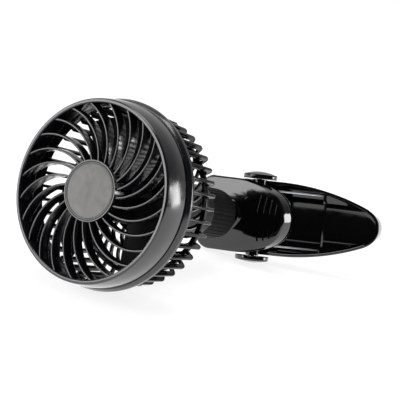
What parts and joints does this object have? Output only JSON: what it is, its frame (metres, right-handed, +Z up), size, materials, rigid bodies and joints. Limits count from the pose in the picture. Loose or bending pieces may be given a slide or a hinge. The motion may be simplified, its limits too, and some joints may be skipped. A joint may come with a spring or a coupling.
{
  "type": "clip fan",
  "caption": "Clip-on car fan: round grille, three-blade impeller and caged motor on a ball joint over a sprung clip with a long handle.",
  "frame": {"origin": "below the middle of the bounding box, on the table that the fan lies on", "axes": "+Z up from the table; +X along the clip's long handle, away from the fan head; -Y towards the side that the fan head faces"},
  "size_m": [0.271, 0.2192, 0.1333],
  "materials": {
    "black_gloss": "gloss",
    "black_satin": "satin",
    "silver_badge": "satin",
    "plain_steel": "satin",
    "spring_steel": "satin",
    "zinc_plated_steel": "satin",
    "wound_core": "satin",
    "bronze": "satin",
    "cream_moulding": "matte",
    "grey_plastic": "satin",
    "black_rubber": "matte"
  },
  "bodies": {
    "rear_lever": {"rear_jaw": "black_gloss", "rear_pad": "black_rubber", "hinge_pin": "plain_steel", "upper_pin_cap": "black_gloss", "lower_pin_cap": "black_gloss", "upper_spring": "spring_steel", "lower_spring": "spring_steel"},
    "front_lever": {"front_jaw": "black_gloss", "front_pad": "black_rubber"},
    "post": {"ball_stud": "plain_steel", "stud_nut": "plain_steel"},
    "seat": {"ball_seat": "grey_plastic"},
    "head": {"motor_housing": "black_satin", "front_grille": "black_gloss", "hub_badge": "silver_badge", "rear_cage": "black_satin", "cage_screws": "plain_steel", "front_bush": "bronze", "rear_bush": "bronze", "motor_can": "zinc_plated_steel", "motor_end_cap": "cream_moulding", "speed_switch": "black_satin", "cord_gland": "black_rubber"},
    "collar": {"lock_collar": "black_satin"},
    "rotor": {"impeller": "black_satin", "impeller_nut": "plain_steel", "motor_shaft": "plain_steel", "armature": "wound_core"},
    "slider": {"switch_slider": "grey_plastic"}
  },
  "joints": [
    {"name": "clip_opening", "type": "hinge", "parent": "rear_lever", "child": "front_lever", "pos_m": [0.03529, 0.0846, 0.03605], "axis": [-0.101, 0.2193, 0.9704], "range_deg": [0, 21], "stiffness_Nm_per_rad": 1.2, "springref_deg": -40.11, "deforming": ["upper_spring", "lower_spring"]},
    {"name": "post_swivel", "type": "hinge", "parent": "front_lever", "child": "post", "pos_m": [0.00182, 0.05699, 0.03881], "axis": [-0.3936, -0.9046, 0.1635], "continuous": true},
    {"name": "head_tilt", "type": "hinge", "parent": "post", "child": "seat", "pos_m": [0.00182, 0.05699, 0.03881], "axis": [-0.3324, -0.0257, -0.9428], "range_deg": [-40, 22]},
    {"name": "head_roll", "type": "hinge", "parent": "seat", "child": "head", "pos_m": [0.00182, 0.05699, 0.03881], "axis": [-0.529, -0.8225, 0.209], "continuous": true},
    {"name": "collar_twist", "type": "hinge", "parent": "head", "child": "collar", "pos_m": [0.00182, 0.05699, 0.03881], "axis": [-0.529, -0.8225, 0.209], "range_deg": [0, 60]},
    {"name": "impeller_spin", "type": "hinge", "parent": "head", "child": "rotor", "pos_m": [0.00182, 0.05699, 0.03881], "axis": [-0.529, -0.8225, 0.209], "continuous": true},
    {"name": "switch_slide", "type": "slide", "parent": "head", "child": "slider", "axis": [-0.529, -0.8225, 0.209], "range_m": [0, 0.0062]}
  ]
}
